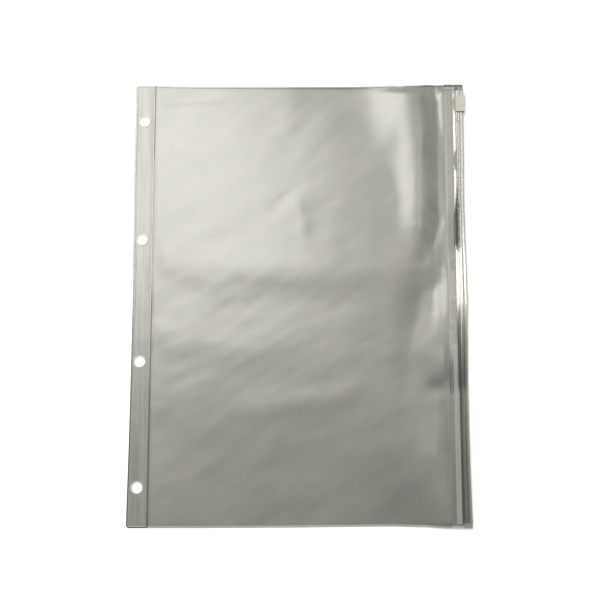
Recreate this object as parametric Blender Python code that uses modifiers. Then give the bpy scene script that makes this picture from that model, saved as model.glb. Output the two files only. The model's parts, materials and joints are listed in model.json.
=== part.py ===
"""Zippered binder pocket, lying on its back.

Two soft films are welded together along the top, the bottom and the punched strip's edges. A second weld
parts the strip from the pocket, and the page folds there. A press-to-close zip with a slider shuts the right side.

X runs across the page, Y up the page and Z up from the table. The origin is on the table, under the middle.
"""

import math

import bmesh
import bpy
from mathutils import Matrix, Vector

MM = 0.001

# Page
PAGE_WIDTH = 220.0 * MM  # outer edge of the strip to the slider's outer face
PAGE_LENGTH = 290.0 * MM
FILM = 0.2 * MM
PLY_GAP = 0.05 * MM  # between two films that lie on each other
SEAM_GAP = 0.05 * MM  # between the edge of a film and the weld that it runs into

# Welds between the films
WELD_WIDTH = 1.4 * MM
WELD_THICKNESS = 0.36 * MM
CORNER_RADIUS = 2.0 * MM
CORNER_STEPS = 6

# Punched strip
STRIP_WIDTH = 13.0 * MM  # page edge to the middle of the spine weld
SPINE_WELD_WIDTH = 1.4 * MM
HOLE_COUNT = 4
HOLE_PITCH = 80.0 * MM
HOLE_DIAMETER = 6.5 * MM
HOLE_SETBACK = 6.5 * MM  # page edge to the middle of a hole
HOLE_STEPS = 24

# Shape of the films between their welds
CROWN = 5.2 * MM  # underside of the front film above the table
CROWN_RUN = 141.0 * MM  # spine weld to the top of the crown
END_RUN = 110.0 * MM  # top or bottom weld to the top of the crown
CROWN_STEPS = 8
LAND = 0.6 * MM  # level margin of a film beside a weld
ZIP_RUN = 50.0 * MM  # distance in which both films bend to the height of the zip
ZIP_END_RUN = 4.5 * MM  # distance in which the front film closes beside the ends of the zip
ZIP_END_REACH = 55.0 * MM  # how far from the zip the front film starts to close more tightly

# Zip: two strips, one with a rib and one with the groove that holds it
TAPE_WELD_WIDTH = 5.5 * MM
TAPE_WELD_THICKNESS = 0.45 * MM
TAPE_WIDTH = 7.2 * MM
TAPE_BASE = 0.5 * MM
TAPE_SPACE = 1.2 * MM  # between the bases of the two strips
TAPE_LIP = 1.3 * MM  # outer lip, which the slider's finger parts
JAW = 0.4 * MM
JAW_HEIGHT = 1.0 * MM
HOOK = 0.2 * MM
HOOK_HEIGHT = 0.3 * MM
GROOVE = 1.2 * MM
RIB_NECK = 0.5 * MM
RIB_HEAD = 0.95 * MM
RIB_TIP = 0.6 * MM
RIB_HEAD_HEIGHT = 0.45 * MM
RIB_CLEAR = 0.15 * MM  # rib to the floor of the groove
RIDGE_SETBACK = 0.5 * MM  # jaw to the ridge that guides the slider
RIDGE_WIDTH = 0.8 * MM
RIDGE_HEIGHT = 0.45 * MM
STOP_LENGTH = 4.0 * MM
STOP_THICKNESS = 1.0 * MM  # at the page edge, where the zip is crushed flat
STOP_GAP = 0.2 * MM

# Slider
SLIDER_LENGTH = 11.0 * MM
SLIDER_SETBACK = 4.2 * MM  # its upper end to the zip's upper stop, where it rests
SLIDER_WALL = 0.8 * MM
SLIDER_BRIDGE = 0.6 * MM
SLIDER_TAPER = 0.6 * MM  # added to the bridge at the wide end
SLIDER_LIP = 0.65 * MM
SLIDER_CLEAR = 0.15 * MM
FINGER_REACH = 0.9 * MM
FINGER_THICKNESS = 0.7 * MM
SLIDER_CHAMFER = 0.3 * MM

# Places across the page
page_left = -PAGE_WIDTH / 2
page_right = PAGE_WIDTH / 2
page_end = PAGE_LENGTH / 2
fold_x = page_left + STRIP_WIDTH
strip_right = fold_x - SPINE_WELD_WIDTH / 2 - SEAM_GAP
pocket_left = fold_x + SPINE_WELD_WIDTH / 2 + SEAM_GAP
zip_edge = page_right - SLIDER_BRIDGE - SLIDER_TAPER - SLIDER_CLEAR
tape_left = zip_edge - TAPE_WIDTH
tape_weld_right = tape_left - SEAM_GAP
tape_weld_left = tape_weld_right - TAPE_WELD_WIDTH
pocket_right = tape_weld_left - SEAM_GAP
panel_end = page_end - WELD_WIDTH - SEAM_GAP
stop_face = page_end - STOP_LENGTH
tape_end = stop_face - STOP_GAP
slider_rest = stop_face - SLIDER_SETBACK - SLIDER_LENGTH / 2

# Heights above the table
ply_stack = 2 * FILM + PLY_GAP
fold_z = ply_stack / 2
back_base = SLIDER_WALL + SLIDER_CLEAR + RIDGE_HEIGHT
groove_floor = back_base + TAPE_BASE
front_base = groove_floor + TAPE_SPACE
front_top = front_base + TAPE_BASE
zip_middle = (back_base + front_top) / 2
slider_height = 2 * zip_middle


def smooth(share):
    """A level start, a level end and an even bend between them, as share runs from 0 to 1."""
    share = min(max(share, 0.0), 1.0)
    return share * share * (3 - 2 * share)


def arch(share):
    """A rise that starts at once and comes level, as share runs from 0 to 1."""
    share = min(max(share, 0.0), 1.0)
    return share * (2 - share)


def between(low, high, share):
    return low + (high - low) * share


def toward_zip(x, run):
    """0 on the left, rising to 1 where the films meet the zip, over the last run of the way."""
    level = pocket_right - LAND
    return smooth((x - level + run) / run)


def back_height(x):
    """Underside of the back film, which lies on the table and climbs to the zip."""
    return back_base * toward_zip(x, ZIP_RUN)


def inward(x, y):
    """0 at the top and bottom welds and 1 inside, where the front film has its full shape."""
    run = between(END_RUN, ZIP_END_RUN, toward_zip(x, ZIP_END_REACH))
    return arch((panel_end - abs(y) - LAND) / (run - LAND))


def front_height(x, y):
    """Underside of the front film."""
    from_spine = arch((x - pocket_left - LAND) / (CROWN_RUN - LAND))
    crown = between(FILM + PLY_GAP, CROWN, from_spine)
    inside = between(crown, front_top - FILM, toward_zip(x, ZIP_RUN))
    return between(back_height(x) + FILM + PLY_GAP, inside, inward(x, y))


def clear_scene():
    for obj in list(bpy.data.objects):
        bpy.data.objects.remove(obj, do_unlink=True)


def plastic(name, colour, roughness):
    """A soft or moulded plastic finish."""
    material = bpy.data.materials.new(name)
    material.use_nodes = True
    shader = material.node_tree.nodes["Principled BSDF"]
    shader.inputs["Base Color"].default_value = (*colour, 1.0)
    shader.inputs["Roughness"].default_value = roughness
    shader.inputs["Metallic"].default_value = 0.0
    return material


def place(obj, material, holder):
    """Puts a finished piece in the parts collection, under the empty that it moves with."""
    parts.objects.link(obj)
    obj.data.materials.append(material)
    obj.parent = holder
    obj.matrix_parent_inverse = Matrix.Translation(-holder.location)


def holder_at(name, location):
    """An empty on a joint's axis, or at the origin for what stays still."""
    empty = bpy.data.objects.new(name, None)
    empty.location = location
    parts.objects.link(empty)
    return empty


def outline_curve(name, outlines, thickness):
    """A flat outline, with any holes, thickened evenly to both sides of its plane."""
    curve = bpy.data.curves.new(name, "CURVE")
    curve.dimensions = "2D"
    curve.fill_mode = "BOTH"
    curve.extrude = thickness / 2
    for points in outlines:
        spline = curve.splines.new("POLY")
        spline.points.add(len(points) - 1)
        spline.use_cyclic_u = True
        for point, (across, up) in zip(spline.points, points):
            point.co = (across, up, 0.0, 1.0)
    return bpy.data.objects.new(name, curve)


def plate(name, outlines, bottom, thickness, material, holder):
    """A level plate: its outlines are seen from above."""
    solid = outline_curve(name, outlines, thickness)
    solid.location = (0.0, 0.0, bottom + thickness / 2)
    place(solid, material, holder)
    return solid


def extrusion(name, outline, middle, length, material, holder):
    """A profile in X and Z, drawn out along Y."""
    solid = outline_curve(name, [outline], length)
    solid.location = (0.0, middle, 0.0)
    solid.rotation_euler = (math.pi / 2, 0.0, 0.0)
    place(solid, material, holder)
    return solid


def rectangle(left, right, bottom, top):
    return [(left, bottom), (right, bottom), (right, top), (left, top)]


def arc(centre_x, centre_y, radius, start, end, steps):
    """Points on an arc, from one angle to another in degrees."""
    angles = [math.radians(between(start, end, i / steps)) for i in range(steps + 1)]
    return [(centre_x + radius * math.cos(a), centre_y + radius * math.sin(a)) for a in angles]


def hole_centres():
    first = -HOLE_PITCH * (HOLE_COUNT - 1) / 2
    return [(page_left + HOLE_SETBACK, first + HOLE_PITCH * i) for i in range(HOLE_COUNT)]


def film_panel(name, columns, rows, height, material, holder):
    """A film: a grid laid on the height that its x and y give, thickened upwards."""
    across = len(columns) - 1
    along = len(rows) - 1
    film = bmesh.new()
    bmesh.ops.create_grid(film, x_segments=across, y_segments=along, size=0.5)
    for vert in film.verts:
        x = columns[round((vert.co.x + 0.5) * across)]
        y = rows[round((vert.co.y + 0.5) * along)]
        vert.co = (x, y, height(x, y))
    mesh = bpy.data.meshes.new(name)
    film.to_mesh(mesh)
    film.free()
    mesh.shade_smooth()
    panel = bpy.data.objects.new(name, mesh)
    thicken = panel.modifiers.new("film thickness", "SOLIDIFY")
    thicken.thickness = FILM
    thicken.offset = 1.0
    place(panel, material, holder)


def panel_columns():
    """Where the films are bent across the page: slowly from the spine weld, and more by the zip."""
    steps = [i / CROWN_STEPS for i in range(CROWN_STEPS + 1)]
    bend = pocket_right - ZIP_END_REACH
    left = [between(pocket_left + LAND, bend, s) for s in steps]
    right = [between(bend, pocket_right - LAND, s) for s in steps[1:]]
    return [pocket_left] + left + right + [pocket_right]


def panel_rows():
    """Where the films are bent along the page: tightly by the ends of the zip, slowly elsewhere."""
    steps = [(i + 1) / CROWN_STEPS for i in range(CROWN_STEPS)]
    inset = [0.0, LAND, (LAND + ZIP_END_RUN) / 2, ZIP_END_RUN]
    inset += [between(ZIP_END_RUN, END_RUN, s) for s in steps]
    upper = [panel_end - step for step in inset]
    return [-y for y in upper] + [0.0] + upper[::-1]


def make_panels():
    ends = [-panel_end, panel_end]
    film_panel("back_panel", panel_columns(), ends, lambda x, y: back_height(x), film_finish, pocket)
    film_panel("front_panel", panel_columns(), panel_rows(), front_height, film_finish, pocket)


def make_end_welds():
    """The welds along the top and bottom edges, which climb to the ends of the zip."""
    stations = [pocket_left] + [x for x in panel_columns() if x > pocket_right - ZIP_END_REACH]
    lower = [(x, back_height(x) + (ply_stack - WELD_THICKNESS) / 2) for x in stations]
    upper = [(x, z + WELD_THICKNESS) for x, z in reversed(lower)]
    for name, side in (("top_weld", 1), ("bottom_weld", -1)):
        middle = side * (page_end - WELD_WIDTH / 2)
        extrusion(name, lower + upper, middle, WELD_WIDTH, weld_finish, pocket)


def make_spine_weld():
    """The thin line between the strip and the pocket, where the page folds."""
    line = rectangle(fold_x - SPINE_WELD_WIDTH / 2, fold_x + SPINE_WELD_WIDTH / 2, -page_end, page_end)
    plate("spine_weld", [line], fold_z - WELD_THICKNESS / 2, WELD_THICKNESS, weld_finish, pocket)


def make_strip_plies():
    """The two films of the strip, punched through for the rings."""
    left = page_left + WELD_WIDTH + SEAM_GAP
    holes = [arc(x, y, HOLE_DIAMETER / 2, 0, 360, HOLE_STEPS)[:-1] for x, y in hole_centres()]
    outlines = [rectangle(left, strip_right, -panel_end, panel_end)] + holes
    plate("strip_back_ply", outlines, 0.0, FILM, film_finish, strip)
    plate("strip_front_ply", outlines, FILM + PLY_GAP, FILM, film_finish, strip)


def make_strip_edge_weld():
    """The weld round the strip's outer edge, with its two round corners."""
    inner = page_left + WELD_WIDTH
    corner_x = page_left + CORNER_RADIUS
    corner_y = page_end - CORNER_RADIUS
    outer_edge = [(strip_right, page_end)]
    outer_edge += arc(corner_x, corner_y, CORNER_RADIUS, 90, 180, CORNER_STEPS)
    outer_edge += arc(corner_x, -corner_y, CORNER_RADIUS, 180, 270, CORNER_STEPS)
    outer_edge += [(strip_right, -page_end)]
    inner_y = page_end - WELD_WIDTH
    inner_edge = [(strip_right, -inner_y), (inner, -inner_y), (inner, inner_y), (strip_right, inner_y)]
    bottom = fold_z - WELD_THICKNESS / 2
    plate("strip_edge_weld", [outer_edge + inner_edge], bottom, WELD_THICKNESS, weld_finish, strip)


def make_tape_welds():
    """The ribbed bands, where each film is welded to its strip of the zip."""
    band = rectangle(tape_weld_left, tape_weld_right, -tape_end, tape_end)
    front_bottom = front_top - TAPE_WELD_THICKNESS
    plate("back_tape_weld", [band], back_base, TAPE_WELD_THICKNESS, zip_finish, pocket)
    plate("front_tape_weld", [band], front_bottom, TAPE_WELD_THICKNESS, zip_finish, pocket)


# Places across the zip, each measured in from its outer edge
jaw_outer = zip_edge - TAPE_LIP
groove_right = jaw_outer - JAW
groove_left = groove_right - GROOVE
jaw_inner = groove_left - JAW
rib_x = (groove_left + groove_right) / 2
ridge_right = jaw_inner - RIDGE_SETBACK
ridge_left = ridge_right - RIDGE_WIDTH
slider_lip_right = ridge_left - SLIDER_CLEAR
slider_left = slider_lip_right - SLIDER_LIP
bridge_x = zip_edge + SLIDER_CLEAR


def make_back_tape():
    """The zip's lower strip: a groove between two hooked jaws, and a ridge below that guides the slider."""
    jaw_top = groove_floor + JAW_HEIGHT
    hook_base = jaw_top - HOOK_HEIGHT
    ridge_z = back_base - RIDGE_HEIGHT
    outline = [(tape_left, back_base), (ridge_left, back_base), (ridge_left, ridge_z)]
    outline += [(ridge_right, ridge_z), (ridge_right, back_base), (zip_edge, back_base)]
    outline += [(zip_edge, groove_floor), (jaw_outer, groove_floor), (jaw_outer, jaw_top)]
    outline += [(groove_right - HOOK, jaw_top), (groove_right - HOOK, hook_base), (groove_right, hook_base)]
    outline += [(groove_right, groove_floor), (groove_left, groove_floor)]
    outline += [(groove_left, hook_base), (groove_left + HOOK, hook_base), (groove_left + HOOK, jaw_top)]
    outline += [(jaw_inner, jaw_top), (jaw_inner, groove_floor), (tape_left, groove_floor)]
    extrusion("back_zip_tape", outline, 0.0, 2 * tape_end, zip_finish, pocket)


def make_front_tape():
    """The zip's upper strip: a rib with a wide head that the groove holds, and a ridge above."""
    tip = groove_floor + RIB_CLEAR
    head = tip + RIB_HEAD_HEIGHT
    ridge_z = front_top + RIDGE_HEIGHT
    outline = [(tape_left, front_base), (rib_x - RIB_NECK / 2, front_base), (rib_x - RIB_NECK / 2, head)]
    outline += [(rib_x - RIB_HEAD / 2, head), (rib_x - RIB_TIP / 2, tip), (rib_x + RIB_TIP / 2, tip)]
    outline += [(rib_x + RIB_HEAD / 2, head), (rib_x + RIB_NECK / 2, head), (rib_x + RIB_NECK / 2, front_base)]
    outline += [(zip_edge, front_base), (zip_edge, front_top), (ridge_right, front_top)]
    outline += [(ridge_right, ridge_z), (ridge_left, ridge_z), (ridge_left, front_top), (tape_left, front_top)]
    extrusion("front_zip_tape", outline, 0.0, 2 * tape_end, zip_finish, pocket)


def make_zip_stops():
    """The ends of the zip, crushed flat together with the films. They stop the slider."""
    middle = (tape_weld_left + zip_edge) / 2
    for name, side in (("zip_top_stop", 1), ("zip_bottom_stop", -1)):
        wedge = [(side * stop_face, back_base), (side * page_end, back_base)]
        wedge += [(side * page_end, back_base + STOP_THICKNESS), (side * stop_face, front_top)]
        stop = outline_curve(name, [wedge], zip_edge - tape_weld_left)
        stop.location = (middle, 0.0, 0.0)
        stop.rotation_euler = (math.pi / 2, 0.0, math.pi / 2)
        place(stop, zip_finish, pocket)


def slider_profile():
    """A channel that wraps both strips, lipped behind their ridges, with a finger between their lips."""
    ceiling = slider_height - SLIDER_WALL
    finger_x = zip_edge - FINGER_REACH
    finger_top = zip_middle + FINGER_THICKNESS / 2
    upper = [(page_right, zip_middle), (page_right, slider_height), (slider_left, slider_height)]
    upper += [(slider_left, front_top + SLIDER_CLEAR), (slider_lip_right, front_top + SLIDER_CLEAR)]
    upper += [(slider_lip_right, ceiling), (bridge_x, ceiling), (bridge_x, finger_top), (finger_x, finger_top)]
    lower = [(x, 2 * zip_middle - z) for x, z in reversed(upper[1:])]
    return upper + lower


def make_slider():
    """One moulding, with its origin in the middle of its travel line and its outer edges chamfered."""
    blank = outline_curve("slider blank", [slider_profile()], SLIDER_LENGTH)
    blank.rotation_euler = (math.pi / 2, 0.0, 0.0)
    parts.objects.link(blank)
    bpy.context.view_layer.update()
    graph = bpy.context.evaluated_depsgraph_get()
    mesh = bpy.data.meshes.new_from_object(blank.evaluated_get(graph))
    origin = Vector((zip_edge, 0.0, zip_middle))
    mesh.transform(Matrix.Translation(-origin) @ blank.matrix_world)
    bpy.data.objects.remove(blank)
    body = bmesh.new()
    body.from_mesh(mesh)
    bmesh.ops.remove_doubles(body, verts=body.verts[:], dist=PLY_GAP / 10)
    bmesh.ops.dissolve_limit(body, angle_limit=math.radians(1), verts=body.verts[:], edges=body.edges[:])
    outer_x = page_right - zip_edge
    outer_z = slider_height / 2
    for vert in body.verts:
        if math.isclose(vert.co.x, outer_x, abs_tol=PLY_GAP) and vert.co.y < 0:
            vert.co.x -= SLIDER_TAPER
    rims = [e for e in body.edges if abs(sum(v.co.z for v in e.verts)) > 2 * (outer_z - PLY_GAP)]
    bmesh.ops.bevel(body, geom=rims, offset=SLIDER_CHAMFER, segments=1, affect="EDGES", profile=0.5)
    body.to_mesh(mesh)
    body.free()
    mesh.name = "slider"
    slider = bpy.data.objects.new("slider", mesh)
    slider.location = origin + Vector((0.0, slider_rest, 0.0))
    place(slider, slider_finish, slider_track)


clear_scene()
parts = bpy.data.collections.new("zippered_binder_pocket")
bpy.context.scene.collection.children.link(parts)

film_finish = plastic("clear film", (0.42, 0.42, 0.38), 0.3)
weld_finish = plastic("welded film", (0.5, 0.5, 0.46), 0.25)
zip_finish = plastic("zip strip", (0.46, 0.46, 0.42), 0.2)
slider_finish = plastic("slider moulding", (0.62, 0.62, 0.56), 0.35)

pocket = holder_at("pocket", (0.0, 0.0, 0.0))
strip = holder_at("strip fold axis", (fold_x, 0.0, fold_z))
slider_track = holder_at("slider track", (zip_edge, 0.0, zip_middle))

make_panels()
make_end_welds()
make_spine_weld()
make_strip_plies()
make_strip_edge_weld()
make_tape_welds()
make_back_tape()
make_front_tape()
make_zip_stops()
make_slider()
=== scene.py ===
# %% [markdown]
# # A zippered binder pocket
# The pocket is two soft vinyl films, welded together round their edges, with a punched strip on the left
# and a press-to-close zip on the right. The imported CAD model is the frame: it says where every piece is and
# how it moves. This lesson dresses that frame, one piece at a time.

# %% Load the frame
import json
import math

import bmesh
import bpy
import numpy as np
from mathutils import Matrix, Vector, noise


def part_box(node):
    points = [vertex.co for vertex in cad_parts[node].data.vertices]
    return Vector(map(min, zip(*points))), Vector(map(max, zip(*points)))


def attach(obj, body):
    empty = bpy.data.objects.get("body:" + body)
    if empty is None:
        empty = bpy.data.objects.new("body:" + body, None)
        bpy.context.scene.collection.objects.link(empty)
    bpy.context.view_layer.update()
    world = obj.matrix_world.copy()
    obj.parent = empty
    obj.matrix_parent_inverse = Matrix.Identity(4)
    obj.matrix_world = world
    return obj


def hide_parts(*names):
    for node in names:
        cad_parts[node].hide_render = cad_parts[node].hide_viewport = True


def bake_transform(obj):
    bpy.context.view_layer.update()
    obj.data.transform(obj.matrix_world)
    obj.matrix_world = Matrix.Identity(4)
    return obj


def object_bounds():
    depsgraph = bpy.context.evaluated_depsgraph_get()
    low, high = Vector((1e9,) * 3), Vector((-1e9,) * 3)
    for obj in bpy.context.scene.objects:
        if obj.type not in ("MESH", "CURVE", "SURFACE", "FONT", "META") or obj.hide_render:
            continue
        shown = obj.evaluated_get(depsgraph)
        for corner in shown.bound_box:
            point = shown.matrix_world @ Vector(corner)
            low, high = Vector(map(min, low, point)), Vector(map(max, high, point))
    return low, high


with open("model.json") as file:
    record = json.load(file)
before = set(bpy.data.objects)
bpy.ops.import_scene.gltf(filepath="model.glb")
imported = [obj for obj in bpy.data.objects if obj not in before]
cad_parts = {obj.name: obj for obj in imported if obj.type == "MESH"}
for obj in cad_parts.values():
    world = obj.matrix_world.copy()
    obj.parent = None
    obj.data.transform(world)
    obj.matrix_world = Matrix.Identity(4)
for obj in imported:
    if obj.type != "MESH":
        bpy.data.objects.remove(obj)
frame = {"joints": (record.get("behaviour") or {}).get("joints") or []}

cad_low, cad_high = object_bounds()

# %% [markdown]
# ## Sizes
# A piece that stands for a CAD node has to lie where the node lies, so the sizes are read from the nodes'
# boxes rather than typed again. Only what a box can't tell, such as how the film swells, is a number here.
# Shapes are worked out in millimetres and turned into metres when a mesh is made.

# %% Read the sizes
MM = 0.001
joints = {joint["name"]: joint for joint in frame["joints"]}


def box_mm(node):
    low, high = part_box(node)
    return [c / MM for c in low], [c / MM for c in high]


page_left, page_right = cad_low.x / MM, cad_high.x / MM
page_end = cad_high.y / MM
fold_x = joints["strip_fold"]["pos_m"][0] / MM
fold_z = joints["strip_fold"]["pos_m"][2] / MM
(pocket_left, _, _), (pocket_right, panel_end, crown_top) = box_mm("front_panel")
(strip_left, _, _), (strip_right, strip_end, ply_top) = box_mm("strip_front_ply")
(band_left, _, band_bottom), (band_right, tape_end, band_top) = box_mm("front_tape_weld")
zip_edge = box_mm("front_zip_tape")[1][0]
back_base = box_mm("back_tape_weld")[0][2]
FILM = 0.2
print(f"page {page_right - page_left:.1f} x {2 * page_end:.1f} mm,",
      f"fold at x {fold_x:.1f}, zip edge at {zip_edge:.2f}")

# %% [markdown]
# ## Sheets
# Films and flat welds are sheets, with one height over each point of the page. They could be pushed into
# shape by hand. Here a grid's points are moved to their heights and a Solidify modifier gives the
# thickness, which keeps the mesh regular: on glossy plastic every flaw shows in the reflections.

# %% Make a sheet
SHARP = 40


def mesh_from(form, name):
    """Turns a form that was built up point by point into a mesh."""
    mesh = bpy.data.meshes.new(name)
    form.to_mesh(mesh)
    form.free()
    return mesh


def new_piece(name, mesh, sharp=SHARP):
    """A smooth piece, with the edges that turn by more than this many degrees left sharp."""
    mesh.shade_smooth()
    mesh.set_sharp_from_angle(angle=math.radians(sharp))
    piece = bpy.data.objects.new(name, mesh)
    bpy.context.scene.collection.objects.link(piece)
    return piece


def apply_modifiers(piece):
    """Turns a piece's modifiers into plain mesh, with its edges marked sharp again."""
    bpy.context.view_layer.update()
    graph = bpy.context.evaluated_depsgraph_get()
    mesh = bpy.data.meshes.new_from_object(piece.evaluated_get(graph))
    piece.modifiers.clear()
    piece.data = mesh
    mesh.name = piece.name
    mesh.set_sharp_from_angle(angle=math.radians(SHARP))


def sheet_piece(name, xs, ys, height, thickness, draw=None):
    """A grid at the given columns and rows, on height(x, y), all in millimetres, thickened upwards."""
    across, along = len(xs) - 1, len(ys) - 1
    wide, long = np.meshgrid(xs, ys)
    heights = height(wide, long)
    if draw:
        wide, long = draw(wide, long)
    grid = bmesh.new()
    bmesh.ops.create_grid(grid, x_segments=across, y_segments=along, size=0.5)
    for vert in grid.verts:
        i, j = round((vert.co.x + 0.5) * across), round((vert.co.y + 0.5) * along)
        vert.co = (wide[j, i] * MM, long[j, i] * MM, heights[j, i] * MM)
    piece = new_piece(name, mesh_from(grid, name))
    skin = piece.modifiers.new("thickness", "SOLIDIFY")
    skin.thickness = thickness * MM
    skin.offset = 1.0
    apply_modifiers(piece)
    return piece


# %% [markdown]
# ## What every piece gets
# A piece rides on a body of the frame, so that it moves as the real one does, and stands for a CAD node.
# Painted shade darkens cut edges, welds, folds and the zip, with some random tone. It could be painted on a
# picture, but a number kept at each point of the mesh, which the finish reads, stays sharp at any size.

# %% Finish and paint a piece
def finish_piece(piece, body, nodes, material):
    """Links a piece, gives it its finish, and lets it stand for its CAD nodes."""
    piece.data.materials.append(material)
    if body:
        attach(piece, body)
    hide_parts(*nodes)
    print(f"{piece.name}: {len(piece.data.polygons)} faces, stands for {', '.join(nodes)}")


def paint(piece, values):
    """Keeps one number for each point of the mesh, from 0 to 1: how much painted shade, or random tone,
    darkens the finish there.
    """
    layer = piece.data.attributes.new("tint", "FLOAT", "POINT")
    layer.data.foreach_set("value", np.clip(np.asarray(values, np.float32).ravel(), 0.0, 1.0))


def points_mm(piece):
    """The x and y of every point of a mesh."""
    flat = np.empty(len(piece.data.vertices) * 3, np.float32)
    piece.data.vertices.foreach_get("co", flat)
    return flat[0::3] / MM, flat[1::3] / MM


# %% [markdown]
# ## Finishes
# Soft vinyl is a grey, cloudy, see-through film with a slightly blurred gloss. A picture could give the
# clouds, but noise has no seams. So each finish is a Principled shader with its colour and roughness from
# noise, at the size that the real surface shows, and a faint bump. What is the same all over, such as
# alpha, is set on the shader.

# %% Make a finish
def set_sockets(node, values):
    """Sets values on a shader node's sockets, and gives the node back."""
    for socket, value in values.items():
        node.inputs[socket].default_value = value
    return node


def vinyl(name, dark, light, roughness, alpha, cloud_mm, grain_mm, grain, specular=0.5, coat=0.0, tint=None,
          rolled=(28.0, 2.0, 0.8)):
    """Cloudy vinyl: two greys mixed by noise, a roughness that wanders, and a fine grain.

    The clouds are drawn out as rolling left them: which way, and how much longer and narrower.
    """
    material = bpy.data.materials.new(name)
    material.use_nodes = True
    nodes, links = material.node_tree.nodes, material.node_tree.links
    shader = set_sockets(nodes["Principled BSDF"], {
        "IOR": 1.53, "Specular IOR Level": specular, "Alpha": alpha,
        "Coat Weight": coat, "Coat Roughness": roughness[0] * 0.8})
    place = nodes.new("ShaderNodeTexCoord")
    stretch = nodes.new("ShaderNodeMapping")
    stretch.vector_type = "TEXTURE"
    set_sockets(stretch, {"Rotation": (0.0, 0.0, math.radians(rolled[0])), "Scale": (*rolled[1:], 1.0)})
    links.new(place.outputs["Object"], stretch.inputs["Vector"])
    cloud = set_sockets(nodes.new("ShaderNodeTexNoise"),
                        {"Scale": 1 / (cloud_mm * MM), "Detail": 5.0, "Roughness": 0.6})
    links.new(stretch.outputs["Vector"], cloud.inputs["Vector"])
    shades = nodes.new("ShaderNodeValToRGB")
    for stop, position, grey in zip(shades.color_ramp.elements, (0.32, 0.68), (dark, light)):
        stop.position = position
        stop.color = (*grey, 1.0)
    links.new(cloud.outputs["Fac"], shades.inputs["Fac"])
    colour = shades.outputs["Color"]
    if tint:
        colour = tinted(nodes, links, colour, tint)
    links.new(colour, shader.inputs["Base Color"])
    blur = set_sockets(nodes.new("ShaderNodeMapRange"), {"To Min": roughness[0], "To Max": roughness[1]})
    links.new(cloud.outputs["Fac"], blur.inputs["Value"])
    links.new(blur.outputs["Result"], shader.inputs["Roughness"])
    fine = set_sockets(nodes.new("ShaderNodeTexNoise"), {"Scale": 1 / (grain_mm * MM), "Detail": 2.0})
    links.new(place.outputs["Object"], fine.inputs["Vector"])
    bump = set_sockets(nodes.new("ShaderNodeBump"), {"Strength": grain, "Distance": 0.05 * MM})
    links.new(fine.outputs["Fac"], bump.inputs["Height"])
    links.new(bump.outputs["Normal"], shader.inputs["Normal"])
    return material


def tinted(nodes, links, colour, tint):
    """Darkens the colour where the mesh's own 'tint' numbers say so: painted shade at cut edges, welds, folds
    and the zip.
    """
    where = nodes.new("ShaderNodeAttribute")
    where.attribute_name = "tint"
    mix = nodes.new("ShaderNodeMix")
    mix.data_type = "RGBA"
    mix.inputs["B"].default_value = (*tint, 1.0)
    links.new(where.outputs["Fac"], mix.inputs["Factor"])
    links.new(colour, mix.inputs["A"])
    return mix.outputs["Result"]


# %% The seven finishes
# What the painted shade comes to at its darkest, on the films and on the welds and cut edges
FILM_SHADE, EDGE_SHADE = (0.08, 0.08, 0.072), (0.04, 0.04, 0.036)
film_vinyl = vinyl("film_vinyl", (0.258, 0.267, 0.245), (0.338, 0.335, 0.302), (0.29, 0.36), alpha=0.66,
                   cloud_mm=24.0, grain_mm=0.9, grain=0.12, specular=0.9, coat=0.5, tint=FILM_SHADE)
strip_vinyl = vinyl("strip_vinyl", (0.25, 0.257, 0.236), (0.37, 0.367, 0.333), (0.26, 0.33), alpha=0.66,
                    cloud_mm=14.0, grain_mm=2.5, grain=0.03, specular=0.8, coat=0.4, tint=FILM_SHADE,
                    rolled=(90.0, 5.0, 0.22))
rib_vinyl = vinyl("rib_vinyl", (0.355, 0.357, 0.328), (0.40, 0.398, 0.364), (0.20, 0.26), alpha=0.72,
                  cloud_mm=10.0, grain_mm=0.9, grain=0.05, specular=0.8, coat=0.3, tint=FILM_SHADE)
weld_vinyl = vinyl("weld_vinyl", (0.44, 0.44, 0.405), (0.51, 0.51, 0.47), (0.24, 0.32), alpha=0.75,
                   cloud_mm=9.0, grain_mm=0.7, grain=0.15, specular=0.8, coat=0.3, tint=EDGE_SHADE)
rim_vinyl = vinyl("rim_vinyl", (0.60, 0.60, 0.56), (0.70, 0.70, 0.65), (0.24, 0.32), alpha=0.8,
                  cloud_mm=3.0, grain_mm=0.7, grain=0.1, tint=EDGE_SHADE)
zip_vinyl = vinyl("zip_vinyl", (0.37, 0.37, 0.33), (0.43, 0.43, 0.385), (0.10, 0.17), alpha=0.95,
                  cloud_mm=12.0, grain_mm=0.8, grain=0.05, specular=1.0, coat=1.0, tint=EDGE_SHADE)
slider_plastic = vinyl("slider_plastic", (0.48, 0.48, 0.44), (0.55, 0.55, 0.50), (0.3, 0.42), alpha=0.92,
                       cloud_mm=3.0, grain_mm=0.5, grain=0.2)
print("finishes:", [finish.name for finish in (
    film_vinyl, strip_vinyl, rib_vinyl, weld_vinyl, rim_vinyl, zip_vinyl, slider_plastic)])

# %% [markdown]
# ## The front film
# An empty pocket still holds a little air, so its front film swells to a low crown and comes down to the
# zip on the right. The CAD model has that swell in facets. A subdivision surface could round them, but a
# height worked out for each point follows the welds exactly, and folds are easily added to it.

# %% Swell of the front film
CROWN, CROWN_X, LAND = crown_top - FILM, 45.0, 0.6
ZIP_RUN, END_LONG, END_SHORT, END_REACH = 50.0, 110.0, 4.5, 32.0
PLY_GAP = 0.05
front_right = band_top - FILM


def smooth(share):
    """Level at 0 and at 1, with an even bend between."""
    share = np.clip(share, 0.0, 1.0)
    return share * share * (3 - 2 * share)


def bell(away, width):
    """1 in the middle, falling off evenly on both sides."""
    return np.exp(-(away / width) ** 2)


def arch(share):
    """Rises at once from 0 and comes level at 1."""
    share = np.clip(share, 0.0, 1.0)
    return share * (2 - share)


def toward_zip(x, run):
    """0 in the open film, and 1 at the zip."""
    return smooth((x - (pocket_right - LAND) + run) / run)


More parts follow.
